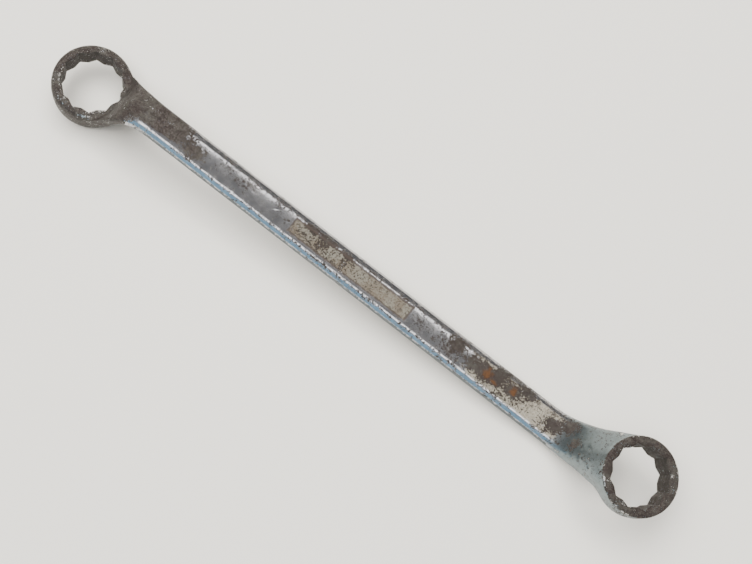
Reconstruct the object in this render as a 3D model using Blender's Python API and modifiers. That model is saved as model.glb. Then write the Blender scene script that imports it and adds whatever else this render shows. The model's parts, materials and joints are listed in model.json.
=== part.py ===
"""Double-ended, deep-offset ring spanner, one drop forging.

The forging is drawn in its own frame: X runs along the shank from the large ring to the small
one, Z is square to the shank's flats, and the middle of the shank is at the origin.  The large
ring is cranked down and the small ring is cranked up.  An empty then turns the whole forging
into the pose in which it lies on a bench: the bench is Z = 0 and the middle of the outline is
at X = Y = 0.
"""

import math

import bmesh
import bpy
from mathutils import Euler, Matrix, Vector

MM = 0.001

# overall layout
CENTRES = 277.0 * MM          # from one ring's centre to the other's, along the shank
OFFSET = 17.7 * MM            # a ring's mid plane, measured from the shank's mid plane
RING_TILT = math.radians(7.5)  # each working face leans outwards by this much

# shank section
SHANK_HALF_WIDTH = 7.6 * MM
SHANK_HALF_THICK = 3.4 * MM
FLAT_HALF_WIDTH = 3.4 * MM
SHOULDER_POWER = 2.0          # 2 is an ellipse, more is squarer
FLAT_SHARE = 0.45             # the flat's share of the loft points of one face
CREST = math.radians(50)      # how far round a shoulder those points go

# heads: nut size across the flats, outside radius, height
AF_LARGE = 24.2 * MM
AF_SMALL = 22.2 * MM
HEAD_LARGE_RADIUS = 17.5 * MM
HEAD_SMALL_RADIUS = 15.95 * MM
HEAD_LARGE_HEIGHT = 11.7 * MM
HEAD_SMALL_HEIGHT = 11.4 * MM
LARGE_PHASE = math.radians(-4.0)   # a broached corner's angle from the shank's axis
SMALL_PHASE = math.radians(11.5)
ENTRY_CHAMFER = 0.25 * MM     # how far the entry cone opens beyond the nut's corners
ENTRY_SLOPE = 0.55            # an entry cone's depth over its width
FACE_EDGE = 0.9 * MM          # blunting of a working face's outer edge
BACK_ROUND = 3.3 * MM         # rounding of a ring's back edge
BARREL = 0.15 * MM            # draft of a ring's side, from its mid plane to the edges

# name panel pressed into both flats
PANEL_LENGTH = 60.0 * MM
PANEL_HALF_WIDTH = 3.3 * MM
PANEL_DEPTH = 0.35 * MM
PANEL_CENTRE = 0.5 * MM

# resting pose
REST_PITCH = math.radians(5.628)
REST_SHIFT = (0.7718 * MM, 0.0, 13.5022 * MM)

TURN_STEPS = 72

# Each neck is a bundle of flow lines from the head's outer edge to the straight shank.
# All distances are from the ring's centre towards the middle of the shank.
LAP = 0.22 * MM               # how far inside the head's surface the flow lines start
NECK_END = 38.0 * MM          # where the shank's straight part starts
NECK_SPREAD = math.radians(67.0)  # the neck wraps this far round the ring on each side
NECK_CONVERGE = math.radians(22.0)  # the angle of the neck's outline where it leaves the ring
NECKS = {
    "large": {
        "radius": HEAD_LARGE_RADIUS,
        "height": HEAD_LARGE_HEIGHT,
        # slope at the head, pull of the head, distance where the bend has reached the shank
        "inner": (math.radians(65), 11.0 * MM, 24.0 * MM),
        "outer": (math.radians(63), 12.8 * MM, 20.8 * MM),
        "side": (math.radians(43), 11.8 * MM, 24.0 * MM),
    },
    "small": {
        "radius": HEAD_SMALL_RADIUS,
        "height": HEAD_SMALL_HEIGHT,
        "inner": (math.radians(58), 11.0 * MM, 26.0 * MM),
        "outer": (math.radians(62), 12.8 * MM, 21.6 * MM),
        "side": (math.radians(39), 11.8 * MM, 26.0 * MM),
    },
}
NECK_STATIONS = 22
ACROSS = 7                    # loft points from the middle of a flat to each side
DOWN = 5                      # loft points down each side


def clear_scene():
    for obj in list(bpy.data.objects):
        bpy.data.objects.remove(obj, do_unlink=True)


def collection(name, hidden=False):
    made = bpy.data.collections.new(name)
    bpy.context.scene.collection.children.link(made)
    made.hide_render = hidden
    return made


def mesh_object(name, mesh, into):
    obj = bpy.data.objects.new(name, mesh)
    into.objects.link(obj)
    if into.hide_render:
        obj.hide_render = True
        obj.display_type = "WIRE"
    return obj


def mix(a, b, t):
    return a + (b - a) * t


def shank_point(s, top):
    """A point of the shank's section at share s from the middle of a flat (0) to the side (1 to 2)."""
    side = 1 if s >= 0 else -1
    s = abs(s)
    if s <= FLAT_SHARE:
        return (side * FLAT_HALF_WIDTH * s / FLAT_SHARE, SHANK_HALF_THICK * top)
    if s <= 1:
        turn = CREST * (s - FLAT_SHARE) / (1 - FLAT_SHARE)
    else:
        turn = mix(CREST, math.pi / 2, s - 1)
    y = FLAT_HALF_WIDTH + (SHANK_HALF_WIDTH - FLAT_HALF_WIDTH) * math.sin(turn) ** (2 / SHOULDER_POWER)
    z = SHANK_HALF_THICK * max(math.cos(turn), 0.0) ** (2 / SHOULDER_POWER)
    return (side * y, z * top)


def flow_line(neck, s, top):
    """The four control points of one flow line, ring end first, in the small ring's layout.

    s is 0 in the middle of a flat and 1 at its edge; from 1 to 2 it goes on down the side.
    top is 1 on the working face's side of the neck and -1 on the back's.
    """
    side = 1 if s >= 0 else -1
    s = abs(s)
    across, down = min(s, 1.0), max(s - 1.0, 0.0)
    radius, half = neck["radius"], neck["height"] / 2
    turn = NECK_SPREAD * (across if top > 0 else across**1.1)
    if top > 0:
        r, z = radius - BARREL - LAP, half - 1.1 * FACE_EDGE
    else:
        roll = math.radians(2 + 86 * across**1.7)
        r = radius - BARREL - BACK_ROUND * (1 - math.sin(roll)) - LAP
        z = -half + BACK_ROUND * (1 - math.cos(roll)) + LAP
    z = mix(z, 0.08 * half, down)
    start = head_matrix("small") @ Vector((-r * math.cos(turn), side * r * math.sin(turn), z))
    slope, pull, reach = neck["inner"] if top > 0 else neck["outer"]
    side_slope, side_pull, side_reach = neck["side"]
    ease = across * across * (3 - 2 * across)
    slope = mix(slope, side_slope, ease)
    pull = mix(pull, side_pull, ease)
    reach = mix(reach, side_reach, ease)
    if top > 0:
        aim = 0.35 * turn * (1 - across**2) ** 2 - NECK_CONVERGE * across**1.5
    else:
        aim = -NECK_CONVERGE * across**1.2
    leave = Vector((
        -math.cos(aim) * math.cos(slope),
        side * math.sin(aim) * math.cos(slope),
        -math.sin(slope),
    ))
    y, z = shank_point(side * s, top)
    end = Vector((CENTRES / 2 - NECK_END, y, z))
    before_end = Vector((CENTRES / 2 - reach, y, z))
    return start, start + pull * leave, before_end, end


def bezier(points, t):
    a, b, c, d = points
    u = 1 - t
    return u**3 * a + 3 * u * u * t * b + 3 * u * t * t * c + t**3 * d


def neck_loops(neck):
    """Closed loops from inside the head to the straight shank, each from the upper flat's -Y edge round."""
    flat = [i / ACROSS for i in range(-ACROSS, ACROSS + 1)]
    side = [1 + 2 * i / (DOWN + 1) for i in range(1, DOWN + 1)]
    keys = [(s, 1) for s in flat]
    keys += [(s, 1) if s <= 2 else (4 - s, -1) for s in side]
    keys += [(-s, -1) for s in flat]
    keys += [(s - 4, 1) if s >= 2 else (-s, -1) for s in side]
    lines = [flow_line(neck, s, top) for s, top in keys]
    place = head_matrix("small")
    inward = place.inverted()
    buried = []
    for line in lines:
        local = inward @ line[0]
        buried.append(place @ Vector((0.86 * local.x, 0.86 * local.y, 0.75 * local.z)))
    stations = [i / (NECK_STATIONS - 1) for i in range(NECK_STATIONS)]
    return [buried] + [[bezier(line, t) for line in lines] for t in stations]


def forging_body(into):
    """The shank and both necks as one loft; its ends lie inside the two heads."""
    small = neck_loops(NECKS["small"])
    n = len(small[0])
    flat_count = 2 * ACROSS + 1
    large = []
    for loop in neck_loops(NECKS["large"]):
        # half a turn about Y swaps the upper and under flats
        turned_loop = [Vector((-p.x, p.y, -p.z)) for p in loop]
        under = turned_loop[:flat_count]
        right = turned_loop[flat_count:flat_count + DOWN]
        upper = turned_loop[flat_count + DOWN:2 * flat_count + DOWN]
        left = turned_loop[2 * flat_count + DOWN:]
        large.append(upper[::-1] + right[::-1] + under[::-1] + left[::-1])
    loops = large + small[::-1]
    mesh = bpy.data.meshes.new("shank_and_necks")
    bm = bmesh.new()
    rings = [[bm.verts.new(p) for p in loop] for loop in loops]
    for a, b in zip(rings, rings[1:]):
        for i in range(n):
            j = (i + 1) % n
            bm.faces.new((a[i], b[i], b[j], a[j]))
    for ring in (rings[0], rings[-1]):
        # the end is a curved strip, so it is closed with quads from one flat's row to the other's
        upper = ring[:flat_count]
        under = ring[flat_count + DOWN:2 * flat_count + DOWN][::-1]
        for i in range(flat_count - 1):
            bm.faces.new((upper[i], upper[i + 1], under[i + 1], under[i]))
        bm.faces.new([upper[-1]] + ring[flat_count:flat_count + DOWN] + [under[-1]])
        bm.faces.new([under[0]] + ring[2 * flat_count + DOWN:] + [upper[0]])
    bmesh.ops.triangulate(bm, faces=bm.faces)
    bmesh.ops.recalc_face_normals(bm, faces=bm.faces)
    bm.to_mesh(mesh)
    bm.free()
    return mesh_object("ring_spanner_forging", mesh, into)


def head_matrix(which):
    """Places a head drawn about its own Z axis, working face towards +Z."""
    tilt = Matrix.Rotation(RING_TILT, 4, "Y")
    place = Matrix.Translation((CENTRES / 2, 0, OFFSET)) @ tilt
    if which == "large":
        place = Matrix.Rotation(math.pi, 4, "Y") @ place
    return place


def turned(name, profile, into, matrix):
    """A body turned about Z from a profile of (radius, z), listed from the top down."""
    mesh = bpy.data.meshes.new(name)
    points = [(r, 0.0, z) for r, z in profile]
    mesh.from_pydata(points, [(i, i + 1) for i in range(len(points) - 1)], [])
    obj = mesh_object(name, mesh, into)
    screw = obj.modifiers.new("turn", "SCREW")
    screw.axis = "Z"
    screw.steps = TURN_STEPS
    screw.render_steps = TURN_STEPS
    screw.use_merge_vertices = True
    screw.merge_threshold = 0.00002
    screw.use_smooth_shade = True
    obj.matrix_world = matrix
    return obj


def head_profile(radius, height):
    half = height / 2
    back = []
    for i in range(5):
        a = math.pi / 2 * i / 4
        back.append((radius - BARREL - BACK_ROUND * (1 - math.cos(a)), -half + BACK_ROUND * (1 - math.sin(a))))
    return [
        (0, half),
        (radius - FACE_EDGE, half),
        (radius - 0.35 * FACE_EDGE, half - 0.35 * FACE_EDGE),
        (radius - 1.4 * BARREL, half - 1.2 * FACE_EDGE),
        (radius - 0.4 * BARREL, half * 0.4),
        (radius, 0),
        *back,
        (0, -half),
    ]


def star_prism(name, across_flats, height, phase, into, matrix):
    """A double hexagon with sharp corners, extruded along the ring's axis."""
    corner = across_flats / math.sqrt(3)
    notch = across_flats / 2 / math.cos(math.pi / 12)
    bm = bmesh.new()
    loop = []
    for i in range(24):
        a = phase + i * math.pi / 12
        r = notch if i % 2 else corner
        loop.append(bm.verts.new((r * math.cos(a), r * math.sin(a), -height / 2)))
    base = bm.faces.new(loop)
    moved = bmesh.ops.extrude_face_region(bm, geom=[base])
    up = [v for v in moved["geom"] if isinstance(v, bmesh.types.BMVert)]
    bmesh.ops.translate(bm, verts=up, vec=(0, 0, height))
    bmesh.ops.recalc_face_normals(bm, faces=bm.faces)
    mesh = bpy.data.meshes.new(name)
    bm.to_mesh(mesh)
    bm.free()
    obj = mesh_object(name, mesh, into)
    obj.matrix_world = matrix
    return obj


def entry_cones(name, across_flats, height, into, matrix):
    """Both entry chamfers of a socket as one spool that is narrower than the socket in its middle."""
    corner = across_flats / math.sqrt(3)
    half = height / 2
    core = across_flats / 2 - 0.6 * MM
    out = 0.3 * MM
    face = corner + ENTRY_CHAMFER
    back = corner - 0.6 * MM
    profile = [
        (0, half + out),
        (face + out / ENTRY_SLOPE, half + out),
        (core, half - ENTRY_SLOPE * (face - core)),
        (core, -half + ENTRY_SLOPE * (back - core)),
        (back + out / ENTRY_SLOPE, -half - out),
        (0, -half - out),
    ]
    return turned(name, profile, into, matrix)


def panel_block(name, side, into):
    """The block that presses the name panel into one flat."""
    mesh = bpy.data.meshes.new(name)
    bm = bmesh.new()
    bmesh.ops.create_cube(bm, size=1.0)
    bmesh.ops.scale(bm, verts=bm.verts, vec=(PANEL_LENGTH, 2 * PANEL_HALF_WIDTH, 2 * PANEL_DEPTH))
    bm.to_mesh(mesh)
    bm.free()
    obj = mesh_object(name, mesh, into)
    obj.matrix_world = Matrix.Translation((PANEL_CENTRE, 0, side * SHANK_HALF_THICK))
    return obj


def boolean(obj, other, operation, name):
    made = obj.modifiers.new(name, "BOOLEAN")
    made.operation = operation
    made.solver = "EXACT"
    made.object = other
    return made


def plated_steel():
    mat = bpy.data.materials.new("worn_plated_steel")
    mat.use_nodes = True
    shader = mat.node_tree.nodes["Principled BSDF"]
    shader.inputs["Base Color"].default_value = (0.36, 0.36, 0.37, 1)
    shader.inputs["Metallic"].default_value = 1.0
    shader.inputs["Roughness"].default_value = 0.38
    return mat


clear_scene()
parts = collection("deep_offset_ring_spanner")
tools = collection("forging_tools", hidden=True)

forging = forging_body(parts)
forging.data.materials.append(plated_steel())

for key, af, radius, height, phase in (
    ("large", AF_LARGE, HEAD_LARGE_RADIUS, HEAD_LARGE_HEIGHT, LARGE_PHASE),
    ("small", AF_SMALL, HEAD_SMALL_RADIUS, HEAD_SMALL_HEIGHT, SMALL_PHASE),
):
    place = head_matrix(key)
    head = turned("head_" + key, head_profile(radius, height), tools, place)
    boolean(forging, head, "UNION", "join_head_" + key)
    socket = star_prism("socket_" + key, af, height + 16 * MM, phase, tools, place)
    boolean(forging, socket, "DIFFERENCE", "broach_" + key)
    cones = entry_cones("entry_" + key, af, height, tools, place)
    boolean(forging, cones, "DIFFERENCE", "chamfer_" + key)

for label, side in (("upper", 1), ("under", -1)):
    boolean(forging, panel_block("panel_" + label, side, tools), "DIFFERENCE", "press_panel_" + label)

for polygon in forging.data.polygons:
    polygon.use_smooth = True

rest = bpy.data.objects.new("resting_pose", None)
parts.objects.link(rest)
bpy.context.view_layer.update()
for obj in list(parts.objects) + list(tools.objects):
    if obj is not rest:
        obj.parent = rest
rest.matrix_world = Matrix.Translation(REST_SHIFT) @ Euler((0, REST_PITCH, 0)).to_matrix().to_4x4()
bpy.context.view_layer.update()
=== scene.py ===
"""The looks of the deep-offset ring spanner: a worn, plated forging lying on a pale floor.

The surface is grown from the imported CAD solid: its sockets and panels are filled, the solid is
turned into an even, fine skin that can be worn and dented, and the sockets and panels are cut again
with rounded corners. All work on the skin is done in the forging's own frame, in which X runs along
the shank from the large ring to the small one and Z is square to the shank's flats.
"""

import json
import math
import random
from types import SimpleNamespace

import bmesh
import bpy
import numpy as np
from mathutils import Matrix, Vector, noise


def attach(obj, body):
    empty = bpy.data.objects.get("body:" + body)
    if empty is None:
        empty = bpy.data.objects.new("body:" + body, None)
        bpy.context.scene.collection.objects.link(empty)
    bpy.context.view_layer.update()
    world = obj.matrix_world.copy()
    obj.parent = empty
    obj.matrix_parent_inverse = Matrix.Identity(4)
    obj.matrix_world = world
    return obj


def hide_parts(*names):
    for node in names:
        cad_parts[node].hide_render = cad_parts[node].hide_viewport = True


MM = 0.001

# what the part's own design gives
CENTRES = 277.0 * MM
SHANK_HALF_THICK = 3.4 * MM
FLAT_MOUNT_X = 45.0 * MM      # where the record's mount on the upper flat lies along the shank
FACE_MOUNT_INSET = 1.7 * MM   # how far inside a ring's rim the record's mount on its face lies
PANEL_LENGTH = 60.0 * MM
PANEL_HALF_WIDTH = 3.3 * MM
PANEL_DEPTH = 0.35 * MM
PANEL_CENTRE = 0.5 * MM
CONE_SLOPE = 0.5              # how far an entry cone goes down for each step inwards
RINGS = {
    "large": {"radius": 17.5 * MM, "height": 11.7 * MM, "flats": 24.2 * MM, "phase": -4.0, "end": -1},
    "small": {"radius": 15.95 * MM, "height": 11.4 * MM, "flats": 22.2 * MM, "phase": 11.5, "end": 1},
}

# the skin
SKIN = 0.44 * MM              # size of the skin's faces
SHARP_ANGLE = math.radians(38)
CORNER_ROUND = 0.45 * MM      # rounding of a socket's broached corners
NOTCH_BLUNT = 0.12 * MM       # how far the ridges between a socket's corners have worn back
PANEL_SLOPE = 0.35 * MM       # width of the sloping side of a name panel
PANEL_STEP = 0.35             # share of a panel's depth that its border drops at once
PANEL_ROUGHNESS = 0.06 * MM
CROWN = 0.10 * MM             # how far a flat has sunk at its edges
FLAT_HALF_WIDTH = 3.4 * MM
UNEVENNESS = ((0.045, 11, 1), (0.022, 3.2, 2), (0.012, 1.1, 3))   # height and size in mm, and seed

CLEAN, BURIED = -3.2, 4.5     # how far the oxide has come: whole plating and plating that has gone

# where the plating has gone: middle along and across the shank and half lengths, in millimetres
STAINS = (
    (-80, -1.5, 5.0, 2.6), (-21, 3.8, 2.5, 1.3), (-14.5, 3.8, 4.0, 1.2), (-4, 3.6, 2.2, 0.9),
    (54, 2.5, 3.2, 2.6), (65, 0.2, 5.0, 2.6), (71.5, 0.5, 4.2, 2.8), (75, 3.8, 2.5, 1.8),
    (82, 0.8, 3.2, 2.0), (88, 4.5, 3.6, 2.0), (103.5, 0.3, 3.0, 2.4), (109.5, 3.5, 2.6, 2.6),
    (113.5, -2.5, 1.2, 2.0),
)
SPECKLED = (
    (-84, 3.0, 6.0, 4.0), (-64, 3.5, 5.0, 3.0), (-57, 1.0, 6.0, 3.0), (-38, 3.0, 3.0, 2.5),
    (-12, 1.0, 19.0, 4.0), (37, -0.5, 5.0, 3.0), (52, 0.0, 8.0, 6.0), (76, 1.0, 17.0, 7.0),
    (103, 0.0, 6.0, 6.0), (127, -6.0, 3.0, 3.0), (10, 4.4, 95, 0.8), (10, -5.4, 95, 0.7),
)
RUST = ((70.3, 0.6, 2.0, 2.1), (74, -0.9, 1.6, 0.9), (82.7, 0.9, 1.8, 1.8))

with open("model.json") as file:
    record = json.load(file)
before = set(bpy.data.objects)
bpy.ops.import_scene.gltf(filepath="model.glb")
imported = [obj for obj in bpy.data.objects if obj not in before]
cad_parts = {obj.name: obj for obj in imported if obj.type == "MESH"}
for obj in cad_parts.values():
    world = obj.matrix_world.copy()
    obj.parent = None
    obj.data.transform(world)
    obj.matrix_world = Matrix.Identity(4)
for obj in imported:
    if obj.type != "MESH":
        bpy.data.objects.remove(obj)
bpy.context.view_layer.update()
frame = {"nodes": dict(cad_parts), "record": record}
NODE = "ring_spanner_forging"


# ---------------------------------------------------------------- places taken from the frame

def mount(name):
    found = next(m for m in frame["record"]["mounts"] if m["name"] == name)
    return Vector(found["pos_m"]), Vector(found["axis"]).normalized()


def forging_frame():
    """The matrix from the forging's own frame to the bench's."""
    place, up = mount("shank_upper_flat")
    across = Vector((0, 1, 0))
    along = across.cross(up)
    origin = place - along * FLAT_MOUNT_X - up * SHANK_HALF_THICK
    return Matrix.Translation(origin) @ Matrix((along, across, up)).transposed().to_4x4()


FORGING = forging_frame()
BENCH_TO_FORGING = FORGING.inverted()


def ring_frame(key):
    """The matrix from a ring's own frame to the forging's.

    Its Z points out of the ring's working face and its X away from the neck.
    """
    ring = RINGS[key]
    place, axis = mount(key + "_ring_face")
    away = Vector((0, 1, 0)).cross(axis)
    if away.x * ring["end"] < 0:
        away = -away
    side = axis.cross(away)
    centre = place - away * (ring["radius"] - FACE_MOUNT_INSET) - axis * ring["height"] / 2
    bench = Matrix.Translation(centre) @ Matrix((away, side, axis)).transposed().to_4x4()
    return BENCH_TO_FORGING @ bench


RING_FRAMES = {key: ring_frame(key) for key in RINGS}


# ---------------------------------------------------------------- mesh helpers

def new_object(name, mesh):
    obj = bpy.data.objects.new(name, mesh)
    bpy.context.scene.collection.objects.link(obj)
    return obj


def mesh_from(bm, name):
    mesh = bpy.data.meshes.new(name)
    bm.to_mesh(mesh)
    bm.free()
    return mesh


def applied(obj):
    """Replaces the object's mesh with what its modifiers make of it."""
    graph = bpy.context.evaluated_depsgraph_get()
    mesh = bpy.data.meshes.new_from_object(obj.evaluated_get(graph))
    obj.modifiers.clear()
    obj.data = mesh
    return obj


def positions(mesh):
    flat = np.empty(len(mesh.vertices) * 3, np.float32)
    mesh.vertices.foreach_get("co", flat)
    return flat.reshape(-1, 3).astype(np.float64)


def normals(mesh):
    flat = np.empty(len(mesh.vertices) * 3, np.float32)
    mesh.vertices.foreach_get("normal", flat)
    return flat.reshape(-1, 3).astype(np.float64)


def set_positions(mesh, points):
    mesh.vertices.foreach_set("co", points.astype(np.float32).ravel())
    mesh.update()


def into(matrix, points):
    """The points seen from the frame that the matrix places."""
    back = np.array(matrix.inverted())
    return points @ back[:3, :3].T + back[:3, 3]


def ramp(low, high, value):
    t = np.clip((value - low) / (high - low), 0, 1)
    return t * t * (3 - 2 * t)


def wobble(points, size, seed):
    """Smooth noise in -1..1 with bumps of about the given size."""
    shift = Vector((seed * 17.3, seed * 5.9, seed * 11.7))
    return np.array([noise.noise(Vector(p) + shift) for p in points / size])


def ring_places(points, key):
    """Distances from a ring's axis, heights above its middle plane and degrees round it from the neck."""
    local = into(RING_FRAMES[key], points)
    round_from_neck = np.degrees(np.abs(np.arctan2(local[:, 1], -local[:, 0])))
    return np.hypot(local[:, 0], local[:, 1]), local[:, 2], round_from_neck


def cylinder(bm, radius, low, high, matrix, steps=96):
    made = bmesh.ops.create_cone(
        bm, cap_ends=True, segments=steps, radius1=radius, radius2=radius, depth=high - low
    )
    shift = Matrix.Translation((0, 0, (low + high) / 2))
    bmesh.ops.transform(bm, matrix=matrix @ shift, verts=made["verts"])


def block(bm, size, matrix):
    made = bmesh.ops.create_cube(bm, size=1.0)
    bmesh.ops.transform(bm, matrix=matrix @ Matrix.Diagonal((*size, 1)), verts=made["verts"])


# ---------------------------------------------------------------- the skin

def filled_blank():
    """The CAD solid in the forging's frame, with its sockets and panels filled, as one fine skin."""
    bm = bmesh.new()
    bm.from_mesh(frame["nodes"][NODE].data)
    bmesh.ops.remove_doubles(bm, verts=bm.verts, dist=0.002 * MM)
    bmesh.ops.transform(bm, matrix=BENCH_TO_FORGING, verts=bm.verts)
    for key, ring in RINGS.items():
        half = ring["height"] / 2
        corner = ring["flats"] / math.sqrt(3)
        cylinder(bm, corner + 0.15 * MM, -half, half, RING_FRAMES[key])
    for side in (1, -1):
        place = Matrix.Translation((PANEL_CENTRE, 0, side * (SHANK_HALF_THICK - PANEL_DEPTH)))
        block(bm, (PANEL_LENGTH + 1 * MM, 2 * PANEL_HALF_WIDTH + 1 * MM, 2 * PANEL_DEPTH), place)
    obj = new_object("spanner", mesh_from(bm, "spanner"))
    remesh = obj.modifiers.new("skin", "REMESH")
    remesh.mode = "VOXEL"
    remesh.voxel_size = SKIN
    return applied(obj)


def soften(obj, weights, rounds, name):
    """Smooths the skin where the weights are high, in ten grades."""
    group = obj.vertex_groups.new(name=name)
    for level in range(1, 11):
        chosen = np.nonzero(np.round(weights * 10).astype(int) == level)[0]
        group.add([int(i) for i in chosen], level / 10, "REPLACE")
    smooth = obj.modifiers.new(name, "SMOOTH")
    smooth.factor = 0.5
    smooth.iterations = rounds
    smooth.vertex_group = name
    applied(obj)
    obj.vertex_groups.clear()


def junction_weights(points):
    """1 where a neck runs into its ring, 0 elsewhere and on the working faces."""
    total = np.zeros(len(points))
    for key, ring in RINGS.items():
        radius, height, round_from_neck = ring_places(points, key)
        near = ramp(ring["radius"] - 8 * MM, ring["radius"] - 3 * MM, radius)
        near *= 1 - ramp(ring["radius"] + 4 * MM, ring["radius"] + 9 * MM, radius)
        near *= 1 - ramp(60, 105, round_from_neck)
        near *= 1 - ramp(ring["height"] / 2 - 2.2 * MM, ring["height"] / 2 - 0.6 * MM, height)
        total = np.maximum(total, near)
    return total


def crown(points):
    """How far down the flats have sunk towards their edges."""
    across = np.clip(np.abs(points[:, 1]) / FLAT_HALF_WIDTH, 0, 1)
    straight = 1 - ramp(CENTRES / 2 - 40 * MM, CENTRES / 2 - 25 * MM, np.abs(points[:, 0]))
    return CROWN * across**2 * straight


def forge_and_wear(obj):
    """Gives the skin crowned flats and the slight unevenness of a forging."""
    points, outward = positions(obj.data), normals(obj.data)
    lift = sum(height * MM * wobble(points, size * MM, seed) for height, size, seed in UNEVENNESS)
    lift -= crown(points) * np.abs(outward[:, 2])
    set_positions(obj.data, points + outward * lift[:, None])


def dents(obj):
    """Short gouges knocked into the small ring's neck and a few along the shank."""
    points, outward = positions(obj.data), normals(obj.data)
    dice = random.Random(7)
    press = np.zeros(len(points))
    strikes = [(dice.uniform(112, 122), dice.uniform(-9, -1), 0.2) for _ in range(11)]
    strikes += [(dice.uniform(-85, 105), dice.uniform(-7, 7), 0.1) for _ in range(22)]
    strikes += [(dice.uniform(60, 112), dice.uniform(-7, 7), 0.12) for _ in range(10)]
    for x, y, depth in strikes:   # all three in millimetres
        heading = dice.uniform(0.6, 2.2)
        length = dice.uniform(0.5, 1.3) * MM
        width = dice.uniform(0.28, 0.45) * MM
        dx, dy = points[:, 0] - x * MM, points[:, 1] - y * MM
        along = dx * math.cos(heading) + dy * math.sin(heading)
        across = -dx * math.sin(heading) + dy * math.cos(heading)
        hit = np.exp(-((along / length) ** 2) - (across / width) ** 2) * (outward[:, 2] > 0.2)
        press = np.maximum(press, depth * hit)
    set_positions(obj.data, points - outward * press[:, None] * MM)


def polar(radius, angle):
    return Vector((radius * math.cos(angle), radius * math.sin(angle)))


def rounded_corner(tip, before, after):
    """The points that round a corner that lies between two notches."""
    reach = CORNER_ROUND / math.tan(math.pi / 3)
    start = tip + (before - tip).normalized() * reach
    end = tip + (after - tip).normalized() * reach
    return [(1 - t) ** 2 * start + 2 * t * (1 - t) * tip + t * t * end for t in (0, 0.25, 0.5, 0.75, 1)]


def blunt_notch(notch, before, after):
    """The points that blunt the ridge that lies between two corners: most in its middle, less beside it."""
    back = notch.normalized() * NOTCH_BLUNT
    sides = []
    for corner, steps in ((before, (0.45, 0.15)), (after, (0.15, 0.45))):
        towards = (corner - notch).normalized()
        sides.append([notch + towards * t * MM + back * (1 - t) * 0.6 for t in steps])
    return sides[0] + [notch + back] + sides[1]


def star_outline(flats, phase):
    """A double hexagon with rounded corners and blunted ridges, anticlockwise."""
    first, step = math.radians(phase), math.pi / 12
    corner = flats / math.sqrt(3)
    notch = flats / 2 / math.cos(step)
    star = [polar(notch if i % 2 else corner, first + i * step) for i in range(24)]
    out = []
    for i in range(0, 24, 2):
        out += rounded_corner(star[i], star[i - 1], star[i + 1])
        out += blunt_notch(star[i + 1], star[i], star[(i + 2) % 24])
    return out


def socket_cutter(bm, ring, matrix):
    """The broached hole, with a step of points every millimetre down its walls."""
    outline = star_outline(ring["flats"], ring["phase"])
    depth = ring["height"] / 2 + 6 * MM
    levels = 24
    rows = []
    for k in range(levels + 1):
        z = -depth + 2 * depth * k / levels
        rows.append([bm.verts.new(matrix @ Vector((p.x, p.y, z))) for p in outline])
    n = len(outline)
    for lower, upper in zip(rows, rows[1:]):
        for i in range(n):
            j = (i + 1) % n
            bm.faces.new((lower[i], lower[j], upper[j], upper[i]))
    bm.faces.new(rows[0][::-1])
    bm.faces.new(rows[-1])


def cone_cutter(bm, ring, matrix):
    """Both entry cones as one turned spool."""
    corner = ring["flats"] / math.sqrt(3)
    half = ring["height"] / 2
    core = ring["flats"] / 2 - 0.6 * MM
    at_face, at_back = corner + 0.3 * MM, corner - 0.35 * MM
    beyond = 0.5 * MM
    profile = [
        (at_face + beyond / CONE_SLOPE, half + beyond),
        (core, half - CONE_SLOPE * (at_face - core)),
        (core, -half + CONE_SLOPE * (at_back - core)),
        (at_back + beyond / CONE_SLOPE, -half - beyond),
    ]
    steps = 120
    angles = [2 * math.pi * i / steps for i in range(steps)]
    rows = []
    for r, z in profile:
        rows.append([bm.verts.new(matrix @ Vector((*polar(r, a), z))) for a in angles])
    for upper, lower in zip(rows, rows[1:]):
        for i in range(steps):
            j = (i + 1) % steps
            bm.faces.new((lower[i], lower[j], upper[j], upper[i]))
    bm.faces.new(rows[0])
    bm.faces.new(rows[-1][::-1])


def panel_rows(bm, side):
    """The points of a panel's floor, as rows: sloping sides and a rough floor."""
    steps_x, steps_y = 150, 18
    rows = []
    for i in range(steps_x + 1):
        row = []
        for j in range(steps_y + 1):
            u, v = 2 * i / steps_x - 1, 2 * j / steps_y - 1
            x = PANEL_CENTRE + u * (PANEL_LENGTH / 2)
            y = v * PANEL_HALF_WIDTH
            rim = min((1 - abs(u)) * PANEL_LENGTH / 2, (1 - abs(v)) * PANEL_HALF_WIDTH)
            depth = PANEL_DEPTH * min(1.0, PANEL_STEP + rim / PANEL_SLOPE)
            spot = Vector((x, y, side))
            rough = noise.noise(spot / (1.5 * MM)) + 0.6 * noise.noise(spot / (0.7 * MM))
            z = SHANK_HALF_THICK - depth + PANEL_ROUGHNESS * rough * min(1.0, rim / PANEL_SLOPE)
            row.append(bm.verts.new((x, y, side * z)))
        rows.append(row)
    return rows


def rim_of(rows):
    """The points round the edge of a grid, in order."""
    return rows[0] + [row[-1] for row in rows[1:-1]] + rows[-1][::-1] + [row[0] for row in rows[-2:0:-1]]


def panel_cutter(bm, side):
    """The die that presses a panel, closed well above the flat."""
    rows = panel_rows(bm, side)
    lid = side * (SHANK_HALF_THICK + 1.5 * MM)
    lids = [[bm.verts.new((v.co.x, v.co.y, lid)) for v in row] for row in rows]
    for grid in (rows, lids):
        for near, far in zip(grid, grid[1:]):
            for corners in zip(near, far, far[1:], near[1:]):
                bm.faces.new(corners)
    low_rim, high_rim = rim_of(rows), rim_of(lids)
    for i, low in enumerate(low_rim):
        bm.faces.new((low_rim[i - 1], low, high_rim[i], high_rim[i - 1]))


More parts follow.
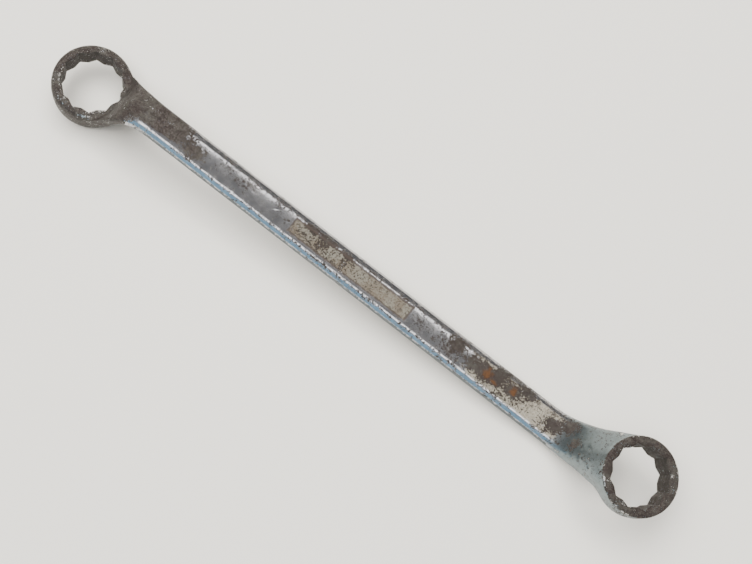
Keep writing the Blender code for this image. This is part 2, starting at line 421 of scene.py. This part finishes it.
def cut(obj, build, name):
    bm = bmesh.new()
    build(bm)
    bmesh.ops.recalc_face_normals(bm, faces=bm.faces)
    tool = new_object(name, mesh_from(bm, name))
    boolean = obj.modifiers.new(name, "BOOLEAN")
    boolean.operation = "DIFFERENCE"
    boolean.solver = "MANIFOLD"
    boolean.object = tool
    applied(obj)
    bpy.data.objects.remove(tool)


def cut_sockets_and_panels(obj):
    def holes(bm):
        for key, ring in RINGS.items():
            socket_cutter(bm, ring, RING_FRAMES[key])
        for side in (1, -1):
            panel_cutter(bm, side)

    def cones(bm):
        for key, ring in RINGS.items():
            cone_cutter(bm, ring, RING_FRAMES[key])

    cut(obj, holes, "sockets_and_panels")
    cut(obj, cones, "entry_cones")


# ---------------------------------------------------------------- wear, painted onto the skin's points

def patches(points, shapes):
    """1 in the middle of each ellipse, fading to 0 well outside its rim."""
    total = np.zeros(len(points))
    for x, y, half_x, half_y in shapes:
        away = np.hypot((points[:, 0] / MM - x) / half_x, (points[:, 1] / MM - y) / half_y)
        total = np.maximum(total, 1 - ramp(0.0, 2.1, away))
    return total


def underside(dice, count):
    """Random stains for the side that faces the bench."""
    stains = []
    for _ in range(count):
        place = dice.uniform(-105, 110), dice.uniform(-5, 5)
        stains.append((*place, dice.uniform(1.5, 6), dice.uniform(1, 3)))
    return stains


def near_ring(radius, ring):
    """1 on a ring and 0 beyond it."""
    return 1 - ramp(ring["radius"] + 0.5 * MM, ring["radius"] + 3 * MM, radius)


def bore_depth(points):
    """1 on the walls of the sockets."""
    total = np.zeros(len(points))
    for key, ring in RINGS.items():
        radius, height, _ = ring_places(points, key)
        corner = ring["flats"] / math.sqrt(3)
        wall = 1 - ramp(corner + 0.05 * MM, corner + 0.3 * MM, radius)
        wall *= 1 - ramp(ring["height"] / 2 - 0.7 * MM, ring["height"] / 2 - 0.1 * MM, np.abs(height))
        total = np.maximum(total, wall)
    return total


def shaded_shank_sides(points, outward):
    """1 on the lower half of the shank's sides, where shade is painted: oxide, mostly turned a dull
    grey-teal.
    """
    x = points[:, 0] / MM
    along = ramp(-112, -101, x) * (1 - ramp(104, 113, x))
    upright = 1 - ramp(0.42, 0.66, np.abs(outward[:, 2]))
    return along * upright * ramp(-2.3, -1.3, -points[:, 2] / MM)


def large_end(x, y):
    """1 on the large ring and its neck, where the plating holds out longest along the near side."""
    limit = -89 - 23 * ramp(3.0, 4.8, -y)
    return 1 - ramp(limit - 3, limit + 6, x)


def far_shoulder(x, y):
    """Half eaten plating along the far side, near the small ring."""
    return 0.45 * ramp(68, 78, x) * (1 - ramp(96, 106, x)) * ramp(5, 6.5, y)


def small_ring_cover(points):
    """Bare on the small ring's working face, and half eaten round its outside away from the neck."""
    radius, height, round_from_neck = ring_places(points, "small")
    ring = RINGS["small"]
    half = ring["height"] / 2
    face = ramp(half - 1.3 * MM, half - 0.5 * MM, height)
    outside = 0.62 * ramp(60, 120, round_from_neck)
    return near_ring(radius, ring) * np.maximum(face, outside)


def oxide_and_side_shade_cover(points, outward):
    """How far the plating has gone, also on the shank's lower sides, where oxide is laid as painted shade:
    with noise added, it has gone altogether over about 0.5.
    """
    up = ramp(-0.15, 0.25, outward[:, 2])
    x, y = points[:, 0] / MM, points[:, 1] / MM
    under = patches(points, underside(random.Random(3), 16))
    total = up * patches(points, STAINS) + (1 - up) * under
    # painted shade: oxide laid over the lower sides of the shank
    side = 0.95 * shaded_shank_sides(points, outward)
    worn = (large_end(x, y), far_shoulder(x, y), side, small_ring_cover(points), bore_depth(points))
    for part in worn:
        total = np.maximum(total, part)
    return CLEAN + 3.2 * up * patches(points, SPECKLED) + (BURIED - CLEAN) * total


def edge_wear(points):
    """1 along the rings' rims and round the mouths of the sockets, where plating and rust rub off."""
    total = np.zeros(len(points))
    for key, ring in RINGS.items():
        radius, height, _ = ring_places(points, key)
        half = ring["height"] / 2
        corner = ring["flats"] / math.sqrt(3)
        rim = np.hypot(radius - ring["radius"] + 0.5 * MM, height - half + 0.3 * MM)
        mouth = np.hypot(radius - corner + 0.2 * MM, np.abs(height) - half + 0.15 * MM)
        back = np.hypot(radius - ring["radius"] + 1.6 * MM, height + half - 0.5 * MM)
        for away, size in ((rim, 0.75), (mouth, 0.7), (back, 0.9)):
            total = np.maximum(total, np.exp(-((away / (size * MM)) ** 2)))
    return total


def inside_panel(points):
    """How far inside the nearest border of a name panel each point lies; less than 0 outside it."""
    along = PANEL_LENGTH / 2 - np.abs(points[:, 0] - PANEL_CENTRE)
    across = PANEL_HALF_WIDTH - np.abs(points[:, 1])
    return np.minimum(along, across)


def panel_floor(points):
    """1 on the floor of a name panel and 0 outside it."""
    low = np.abs(points[:, 2]) < SHANK_HALF_THICK - 0.6 * PANEL_DEPTH
    return ((inside_panel(points) > -0.01 * MM) & low).astype(float)


def panel_border(points):
    """1 along the border of a name panel, which is painted darker."""
    return 1 - ramp(0.15 * MM, 0.75 * MM, np.abs(inside_panel(points)))


def pale_cover(points, outward):
    """1 where the plating has gone matt and whitish, near the small ring."""
    x, y = points[:, 0] / MM, points[:, 1] / MM
    along = ramp(55, 68, x) * (1 - ramp(104, 109, x))
    return along * ramp(-5.4, -4.4, y) * (1 - ramp(4.2, 5.6, y)) * ramp(0.3, 0.6, outward[:, 2])


def paint(mesh, name, values):
    layer = mesh.attributes.new(name, "FLOAT", "POINT")
    layer.data.foreach_set("value", values.astype(np.float32))


def paint_wear_and_shade(mesh):
    points, outward = positions(mesh), normals(mesh)
    up = ramp(0.0, 0.3, outward[:, 2])
    neck = ramp(100, 112, points[:, 0] / MM)
    # painted shade on the lower sides of the shank
    painted_side_shade = shaded_shank_sides(points, outward)
    paint(mesh, "oxide", oxide_and_side_shade_cover(points, outward))
    paint(mesh, "speckle", np.maximum(up * patches(points, SPECKLED), 0.2 + 0.15 * neck))
    paint(mesh, "rust", up * patches(points, RUST))
    paint(mesh, "wear", edge_wear(points))
    # socket walls, whose oxide is darker, and the lower sides with their painted shade
    paint(mesh, "socket_walls_and_shaded_sides", np.maximum(bore_depth(points), painted_side_shade))
    paint(mesh, "panel", panel_floor(points))
    paint(mesh, "border", panel_border(points))
    paint(mesh, "pale", pale_cover(points, outward))
    paint(mesh, "neck", neck)
    # the painted shade of the lower sides, as its own value
    paint(mesh, "painted_side_shade", painted_side_shade)


# ---------------------------------------------------------------- the steel

# linear colours; of a pair, noise wanders from the first to the second
PLATE = (0.40, 0.40, 0.42), (0.52, 0.515, 0.53)
STREAK = (0.33, 0.325, 0.32)
NECK_PLATE = (0.17, 0.212, 0.22), (0.12, 0.155, 0.163)
PALE_PLATE = (0.31, 0.28, 0.225), (0.60, 0.55, 0.455)
PANEL_DIRT = (0.235, 0.22, 0.18), (0.175, 0.145, 0.11)
DIRT_SHADE = (0.15, 0.12, 0.095)
DIRT_SPECK = (0.085, 0.066, 0.052)
DIRT_GRAIN = (0.36, 0.34, 0.285)
OXIDE = (0.034, 0.0255, 0.0235), (0.056, 0.051, 0.045)
OXIDE_SHADE = (0.021, 0.016, 0.0145)
OXIDE_DUST = (0.108, 0.098, 0.086)
# darker oxide for the socket walls, also painted shade on the shank's lower sides
SOCKET_OXIDE_AND_SIDE_SHADE = (0.024, 0.017, 0.014)
# painted shade for the shank's lower sides: a dull grey-teal
SIDE_SHADE = (0.125, 0.145, 0.145), (0.185, 0.203, 0.196)
PIT = (0.04, 0.032, 0.028)
PANEL_EDGE = (0.06, 0.046, 0.038)
ORANGE_RUST = (0.062, 0.032, 0.017), (0.115, 0.055, 0.026)
BARE_STEEL = (0.62, 0.60, 0.57)


class Graph:
    """A short way to write a material's nodes. Textures are laid out in millimetres."""

    def __init__(self, name):
        self.material = bpy.data.materials.new(name)
        self.material.use_nodes = True
        self.tree = self.material.node_tree
        self.shader = self.tree.nodes["Principled BSDF"]
        coordinates = self.tree.nodes.new("ShaderNodeTexCoord")
        self.place = self.vector("SCALE", coordinates.outputs["Object"], scale=1 / MM)

    def node(self, kind, inputs, **settings):
        made = self.tree.nodes.new(kind)
        for key, value in settings.items():
            setattr(made, key, value)
        for key, value in inputs.items():
            self.feed(made.inputs[key], value)
        return made

    def feed(self, socket, value):
        if isinstance(value, bpy.types.NodeSocket):
            self.tree.links.new(value, socket)
        else:
            socket.default_value = value

    def vector(self, operation, value, other=(0, 0, 0), scale=1.0):
        made = self.node("ShaderNodeVectorMath", {0: value, 1: other, 3: scale}, operation=operation)
        return made.outputs["Vector"]

    def painted(self, name):
        return self.node("ShaderNodeAttribute", {}, attribute_name=name).outputs["Fac"]

    def noise(self, size, detail=3.0, roughness=0.55, seed=0.0, stretch=(1, 1, 1)):
        """Noise in 0..1 whose largest bumps are about size millimetres."""
        place = self.vector("MULTIPLY", self.place, stretch)
        inputs = {"Vector": place, "W": seed, "Scale": 1 / size, "Detail": detail, "Roughness": roughness}
        return self.node("ShaderNodeTexNoise", inputs, noise_dimensions="4D").outputs["Fac"]

    def math(self, operation, first, second=0.0):
        return self.node("ShaderNodeMath", {0: first, 1: second}, operation=operation).outputs["Value"]

    def add(self, *values):
        total = values[0]
        for value in values[1:]:
            total = self.math("ADD", total, value)
        return total

    def times(self, *values):
        total = values[0]
        for value in values[1:]:
            total = self.math("MULTIPLY", total, value)
        return total

    def swing(self, noise, amount):
        """Noise moved to swing evenly about 0."""
        return self.math("MULTIPLY", self.math("SUBTRACT", noise, 0.5), amount)

    def step(self, value, low, high):
        inputs = {"Value": value, "From Min": low, "From Max": high}
        return self.node("ShaderNodeMapRange", inputs, interpolation_type="SMOOTHSTEP").outputs["Result"]

    def blend(self, amount, first, second):
        """A colour between two colours; a plain number makes a grey."""
        made = self.node("ShaderNodeMix", {}, data_type="RGBA")
        self.feed(made.inputs["Factor"], amount)
        for socket, value in ((made.inputs[6], first), (made.inputs[7], second)):
            self.feed(socket, (*value, 1.0) if isinstance(value, tuple) else value)
        return made.outputs[2]

    def between(self, amount, first, second):
        """A number between two numbers."""
        made = self.node("ShaderNodeMix", {}, data_type="FLOAT")
        for index, value in ((0, amount), (2, first), (3, second)):
            self.feed(made.inputs[index], value)
        return made.outputs[0]

    def bump(self, height, depth, under=None):
        """Bumps of the given depth in millimetres."""
        inputs = {"Height": height, "Distance": depth * MM, "Strength": 1.0}
        if under is not None:
            inputs["Normal"] = under
        return self.node("ShaderNodeBump", inputs).outputs["Normal"]


# below, g is the material's graph, n its noises and m its masks, each 1 where its cover lies and 0 elsewhere

def noises(g):
    """The noises that all masks and colours share: size in millimetres, detail, roughness and seed."""
    return SimpleNamespace(
        broad=g.noise(6.0, 5.0, 0.6, 1.0),
        blotches=g.noise(3.0, 8.0, 0.78, 6.0),
        middle=g.noise(1.9, 5.0, 0.65, 2.0),
        fine=g.noise(0.55, 3.0, 0.6, 3.0),
        grain=g.noise(0.2, 2.0, 0.5, 4.0),
        streaks=g.noise(1.4, 3.0, 0.6, 5.0, stretch=(0.12, 1, 1)),
    )


def cover_masks(g, n):
    """Where oxide, pits, rust and the rest cover the plating: the painted values, made ragged by noise."""
    ragged = g.add(g.swing(n.blotches, 20.0), g.swing(n.middle, 10.0), g.swing(n.fine, 24.0))
    spots = g.add(g.swing(n.broad, 1.2), g.swing(n.middle, 0.8), g.swing(n.fine, 1.6))
    crust = g.add(g.painted("rust"), g.swing(n.middle, 1.6), g.swing(n.fine, 0.8))
    matt = g.add(g.painted("pale"), g.swing(n.middle, 2.6), g.swing(n.fine, 1.6))
    edge = g.add(g.painted("border"), g.swing(n.middle, 2.2), g.swing(n.fine, 1.0))
    return SimpleNamespace(
        oxide=g.step(g.add(g.painted("oxide"), ragged), 0.40, 0.75),
        pits=g.step(g.add(g.times(g.painted("speckle"), 0.38), spots), 0.35, 0.40),
        rust=g.step(crust, 0.30, 0.95),
        pale=g.step(matt, 0.30, 0.70),
        border=g.step(edge, 0.35, 0.7),
        panel=g.painted("panel"),
        neck=g.painted("neck"),
        socket_walls_and_shaded_sides=g.painted("socket_walls_and_shaded_sides"),
        # the painted shade of the shank's lower sides
        painted_side_shade=g.painted("painted_side_shade"),
    )


def bare_mask(g, n, m):
    """Where edges are rubbed down to bright steel, and where specks of it show through the oxide."""
    rubbing = g.add(g.swing(n.broad, 6.0), g.swing(n.middle, 4.0), g.swing(n.fine, 4.0))
    rubbed = g.step(g.add(g.painted("wear"), rubbing, -1.4), 0.02, 0.25)
    specks = g.add(g.swing(n.broad, 1.0), g.swing(n.middle, 1.5), g.swing(n.fine, 1.8))
    # no bright specks on the socket walls, nor in the painted shade of the lower sides
    glints = g.times(g.step(specks, 0.50, 0.60), g.math("SUBTRACT", 1.0, m.socket_walls_and_shaded_sides))
    bare = g.math("MAXIMUM", rubbed, g.times(glints, m.oxide, 0.8))
    return g.times(bare, g.math("SUBTRACT", 1.0, m.rust))


def plate_colour(g, n, m):
    """Plating: bluer and duller on the small ring's neck, whitish next to it."""
    plate = g.blend(g.step(n.broad, 0.3, 0.7), *PLATE)
    plate = g.blend(g.times(g.step(n.streaks, 0.5, 0.8), 0.35), plate, STREAK)
    plate = g.blend(g.times(m.neck, 0.86), plate, g.blend(g.step(n.middle, 0.35, 0.65), *NECK_PLATE))
    return g.blend(m.pale, plate, g.blend(g.step(n.fine, 0.35, 0.65), *PALE_PLATE))


def panel_colour(g, n):
    """Dried dirt on the rough floor of a name panel."""
    dirt = g.blend(g.step(n.broad, 0.40, 0.60), *PANEL_DIRT)
    dirt = g.blend(g.times(g.step(n.middle, 0.50, 0.62), 0.6), dirt, DIRT_SHADE)
    dirt = g.blend(g.times(g.step(n.fine, 0.50, 0.58), 0.8), dirt, DIRT_SPECK)
    return g.blend(g.times(g.step(n.grain, 0.52, 0.66), 0.6), dirt, DIRT_GRAIN)


def oxide_colour(g, n, m):
    """Brown oxide: darker inside the sockets; on the shank's lower sides darker still and mostly turned a
    dull grey-teal, as painted shade.
    """
    brown = g.blend(g.step(n.broad, 0.42, 0.58), *OXIDE)
    brown = g.blend(g.times(g.step(n.middle, 0.45, 0.62), 0.7), brown, OXIDE_SHADE)
    brown = g.blend(g.times(g.step(n.fine, 0.46, 0.62), 0.55), brown, OXIDE_DUST)
    # darker on the socket walls, and painted shade on the shank's lower sides
    brown = g.blend(g.times(m.socket_walls_and_shaded_sides, 0.5), brown, SOCKET_OXIDE_AND_SIDE_SHADE)
    # painted shade: dull grey-teal over most of the lower sides
    return g.blend(g.times(m.painted_side_shade, 0.85), brown, g.blend(g.step(n.middle, 0.4, 0.6), *SIDE_SHADE))


def steel_colour(g, n, m, bare):
    colour = g.blend(m.panel, plate_colour(g, n, m), panel_colour(g, n))
    colour = g.blend(m.oxide, colour, oxide_colour(g, n, m))
    colour = g.blend(g.times(m.pits, 0.9), colour, PIT)
    colour = g.blend(g.times(m.border, 0.9), colour, PANEL_EDGE)
    colour = g.blend(m.rust, colour, g.blend(g.step(n.fine, 0.3, 0.7), *ORANGE_RUST))
    return g.blend(bare, colour, BARE_STEEL)


def steel_metallic(g, m, bare):
    """1 on whole plating and bare steel, less under each cover."""
    metallic = g.between(m.oxide, 1.0, 0.2)
    metallic = g.between(m.pale, metallic, g.times(metallic, 0.6))
    metallic = g.between(g.times(m.panel, 0.85), metallic, 0.35)
    metallic = g.between(g.math("MAXIMUM", m.pits, m.border), metallic, 0.2)
    metallic = g.between(m.rust, metallic, 0.0)
    return g.between(bare, metallic, 1.0)


def steel_roughness(g, n, m, bare):
    """Near 0.18 on polished plating, more under each cover."""
    roughness = g.add(0.18, g.swing(n.broad, 0.14), g.swing(n.fine, 0.12), g.times(m.neck, 0.2))
    roughness = g.between(m.pale, roughness, 0.5)
    roughness = g.between(m.oxide, roughness, g.add(0.56, g.swing(n.middle, 0.3)))
    roughness = g.between(g.math("MAXIMUM", m.panel, m.pits), roughness, 0.62)
    roughness = g.between(m.rust, roughness, 0.9)
    return g.between(bare, roughness, 0.3)


def steel_relief(g, n, m):
    """Bumps too small for the mesh: eaten hollows, grit, the forging's grain and crusts of rust."""
    hollow = g.math("MAXIMUM", m.pits, g.times(m.oxide, 0.7))
    eaten = g.times(hollow, g.math("SUBTRACT", 1.0, g.times(n.grain, 0.5)))
    relief = g.bump(g.times(eaten, -1.0), 0.05)
    grit = g.add(0.12, m.oxide, g.times(m.panel, 2.2), g.times(m.pale, 0.8))
    relief = g.bump(g.times(n.fine, grit), 0.05, relief)
    relief = g.bump(g.times(n.middle, g.add(0.35, g.times(m.oxide, 1.2))), 0.06, relief)
    return g.bump(g.times(m.rust, g.add(0.5, n.fine)), 0.12, relief)


def worn_plated_steel():
    g = Graph("plated_steel")
    n = noises(g)
    m = cover_masks(g, n)
    bare = bare_mask(g, n, m)
    g.shader.inputs["Specular IOR Level"].default_value = 0.25
    g.feed(g.shader.inputs["Base Color"], steel_colour(g, n, m, bare))
    g.feed(g.shader.inputs["Metallic"], steel_metallic(g, m, bare))
    g.feed(g.shader.inputs["Roughness"], steel_roughness(g, n, m, bare))
    g.feed(g.shader.inputs["Normal"], steel_relief(g, n, m))
    return g.material


# ---------------------------------------------------------------- the spanner

spanner = filled_blank()
soften(spanner, np.ones(len(spanner.data.vertices)), 5, "all_over")
soften(spanner, junction_weights(positions(spanner.data)), 70, "junctions")
forge_and_wear(spanner)
dents(spanner)
cut_sockets_and_panels(spanner)
for polygon in spanner.data.polygons:
    polygon.use_smooth = True
spanner.data.set_sharp_from_angle(angle=SHARP_ANGLE)
paint_wear_and_shade(spanner.data)
spanner.data.transform(FORGING)
spanner.data.materials.clear()
spanner.data.materials.append(worn_plated_steel())

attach(spanner, "root")
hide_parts(NODE)


# ---------------------------------------------------------------- floor, light and camera

def make_floor():
    bm = bmesh.new()
    bmesh.ops.create_grid(bm, x_segments=1, y_segments=1, size=4.0)
    floor = new_object("floor", mesh_from(bm, "floor"))
    material = bpy.data.materials.new("pale_floor")
    material.use_nodes = True
    shader = material.node_tree.nodes["Principled BSDF"]
    shader.inputs["Base Color"].default_value = (0.92, 0.90, 0.84, 1)
    shader.inputs["Roughness"].default_value = 0.85
    floor.data.materials.append(material)


def area_light(name, place, size, power, colour):
    """A rectangular light that faces the middle of the bench."""
    data = bpy.data.lights.new(name, "AREA")
    data.shape = "RECTANGLE"
    data.size, data.size_y = size
    data.energy = power
    data.color = colour
    lamp = new_object(name, data)
    lamp.location = place
    lamp.rotation_euler = (Vector((0, 0, 0)) - Vector(place)).to_track_quat("-Z", "Y").to_euler()
    return lamp


def make_lights():
    """Two long windows, a bluish reflector that only shows as a reflection, and an even light from above."""
    area_light("far_window", (0.0, 0.60, 1.155), (1.8, 0.22), 4.4, (1.0, 0.985, 0.955))
    area_light("near_window", (0.0, -0.52, 1.13), (1.6, 0.38), 6.4, (1.0, 0.985, 0.96))
    reflector = area_light("blue_reflector", (-0.15, -0.91, 0.43), (1.4, 1.1), 3.5, (0.14, 0.60, 0.96))
    reflector.visible_diffuse = False
    overhead = area_light("soft_overhead", (-0.3, 0.25, 1.2), (1.6, 1.6), 40.0, (1.0, 0.975, 0.935))
    overhead.visible_glossy = False


def make_world():
    """An even grey room that is darker on its far side."""
    world = bpy.data.worlds.new("studio")
    world.use_nodes = True
    tree = world.node_tree
    place = tree.nodes.new("ShaderNodeTexCoord")
    split = tree.nodes.new("ShaderNodeSeparateXYZ")
    fade = tree.nodes.new("ShaderNodeMapRange")
    for key, value in (("From Min", 0.4), ("From Max", 0.75), ("To Min", 0.38), ("To Max", 0.25)):
        fade.inputs[key].default_value = value
    tree.links.new(place.outputs["Generated"], split.inputs["Vector"])
    tree.links.new(split.outputs["Y"], fade.inputs["Value"])
    background = tree.nodes["Background"]
    background.inputs["Color"].default_value = (0.97, 0.96, 0.94, 1)
    tree.links.new(fade.outputs["Result"], background.inputs["Strength"])
    bpy.context.scene.world = world


# the camera seen from the forging's frame: where it stands and how it is turned
CAMERA_BACK = (-11.2 * MM, -4.8 * MM, 470.5 * MM)
CAMERA_HEADING = math.radians(35.38)
CAMERA_TILTS = (-0.270, -0.058, -0.057)
CAMERA_LENS = 55.05


def make_camera():
    cos_h, sin_h = math.cos(CAMERA_HEADING), math.sin(CAMERA_HEADING)
    view = Matrix(((cos_h, sin_h, 0), (sin_h, -cos_h, 0), (0, 0, -1)))
    for axis, angle in zip("XYZ", CAMERA_TILTS):
        view = view @ Matrix.Rotation(angle, 3, axis)
    data = bpy.data.cameras.new("camera")
    data.lens = CAMERA_LENS
    data.clip_start = 0.01
    camera = new_object("camera", data)
    stand = -(view.transposed() @ Vector(CAMERA_BACK))
    facing = view.transposed() @ Matrix.Diagonal((1, -1, -1))
    camera.matrix_world = FORGING @ (Matrix.Translation(stand) @ facing.to_4x4())
    bpy.context.scene.camera = camera


make_floor()
make_lights()
make_world()
make_camera()
